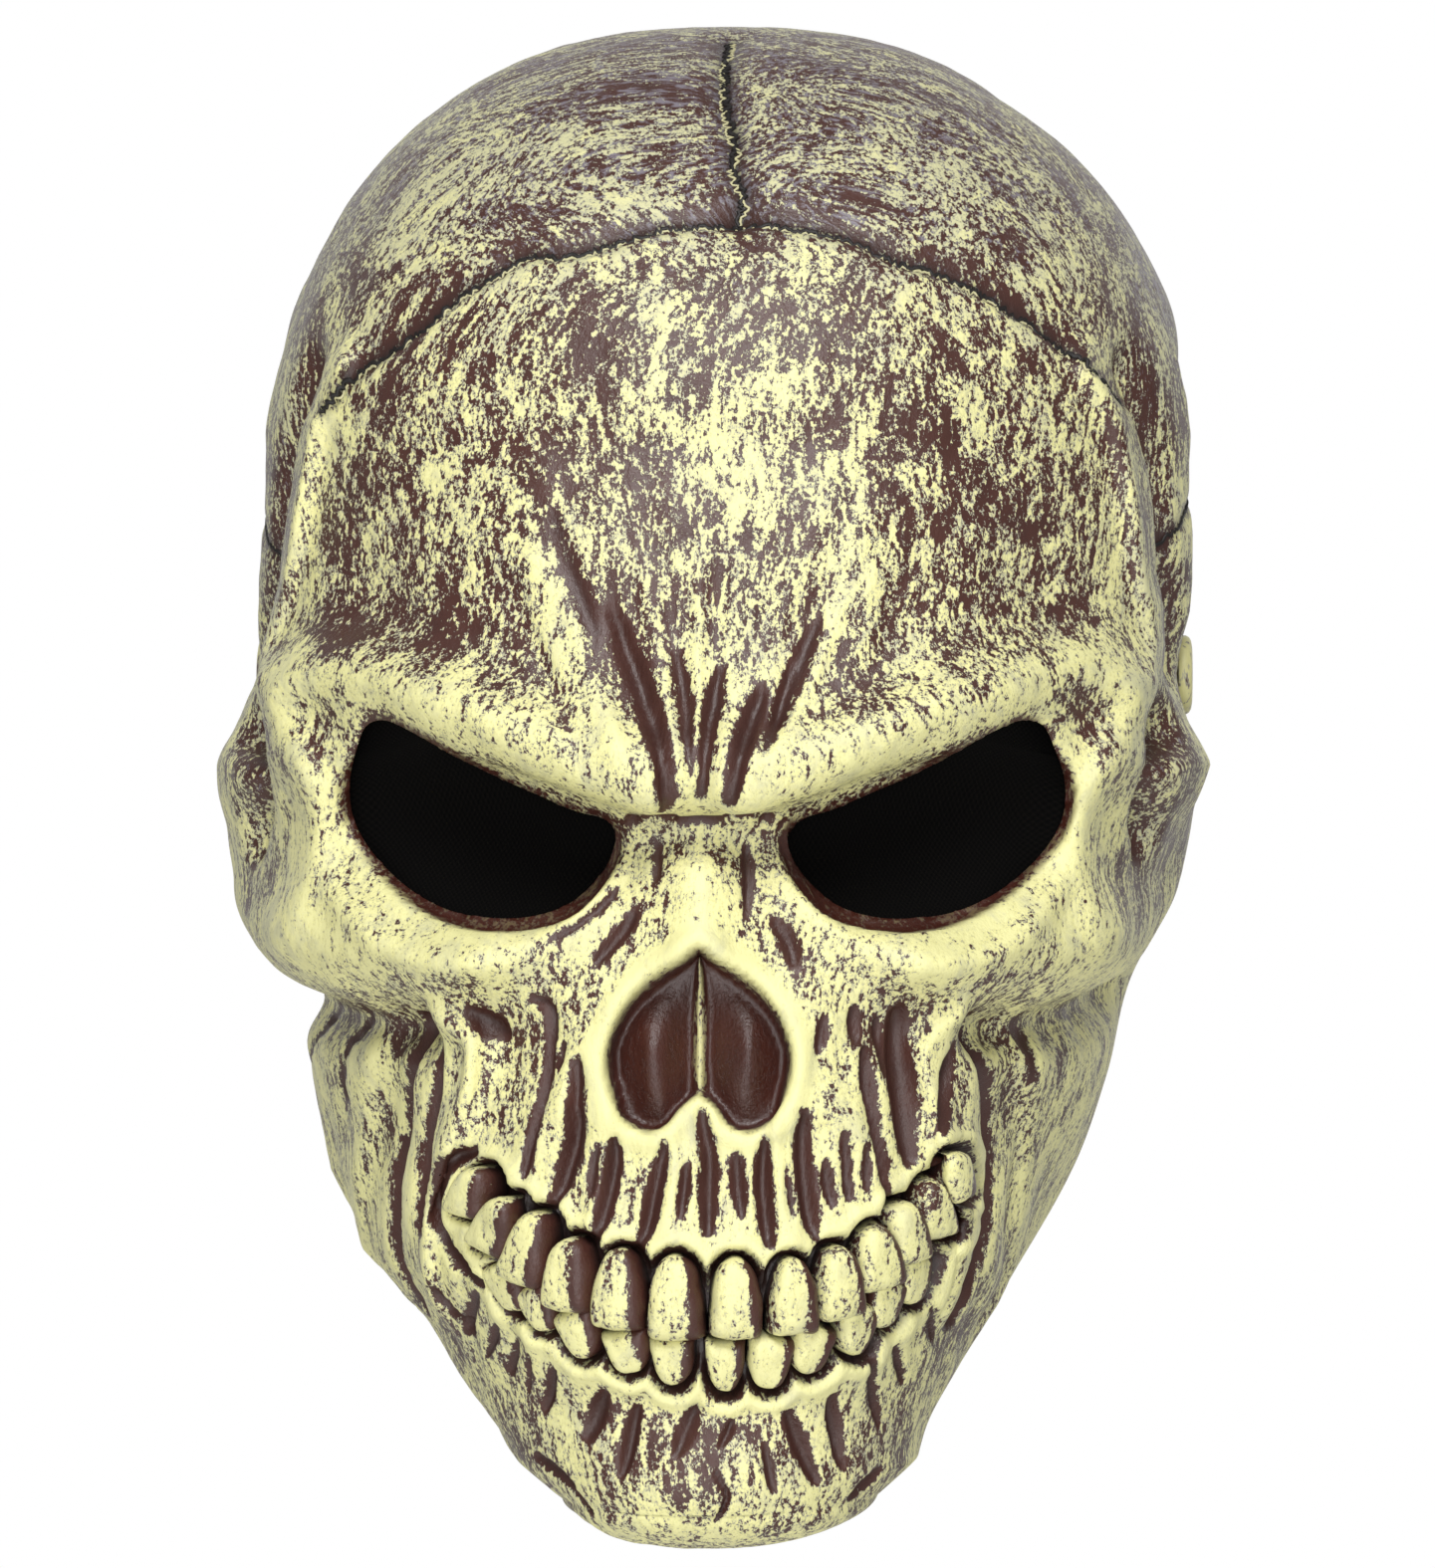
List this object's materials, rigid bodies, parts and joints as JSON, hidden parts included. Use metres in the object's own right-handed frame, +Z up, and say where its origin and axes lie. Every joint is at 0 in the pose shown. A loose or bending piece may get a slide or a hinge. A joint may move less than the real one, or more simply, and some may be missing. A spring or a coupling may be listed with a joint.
{
  "type": "latex skull mask",
  "caption": "Open-backed moulded latex skull mask with hollow eyes, bared teeth and an adjustable elastic head band.",
  "frame": {"origin": "middle of the open back, in the plane of the rear rim, level with the upper lids", "axes": "+Z up, towards the crown; the face looks along -Y, so +Y leaves through the open back; +X is the wearer's left, the picture's right"},
  "size_m": [0.19, 0.2337, 0.2995],
  "materials": {
    "painted_latex": "satin",
    "cap_plastic": "satin",
    "rivet_metal": "satin",
    "patch_latex": "matte",
    "black_gauze": "matte",
    "pad_foam": "matte",
    "label_satin": "satin",
    "black_elastic": "matte",
    "band_plastic": "satin"
  },
  "bodies": {
    "mask": {"mask_skin": "painted_latex", "left_button_cap": "cap_plastic", "right_button_cap": "cap_plastic", "left_rivet": "rivet_metal", "right_rivet": "rivet_metal", "left_anchor_patch": "patch_latex", "right_anchor_patch": "patch_latex", "left_eye_gauze": "black_gauze", "right_eye_gauze": "black_gauze", "forehead_pad": "pad_foam", "chin_pad": "pad_foam", "care_label": "label_satin"},
    "band": {"left_band_eyelet": "rivet_metal", "right_band_eyelet": "rivet_metal", "long_band": "black_elastic", "short_band": "black_elastic", "band_ring": "band_plastic"},
    "slider": {"band_slider": "band_plastic"}
  },
  "joints": [
    {"name": "band_swing", "type": "hinge", "parent": "mask", "child": "band", "pos_m": [0, -0.012, 0.022], "axis": [1, 0, 0], "range_deg": [-40, 50]},
    {"name": "slider_slide", "type": "slide", "parent": "band", "child": "slider", "axis": [1, 0, 0], "range_m": [-0.022, 0.022]}
  ]
}
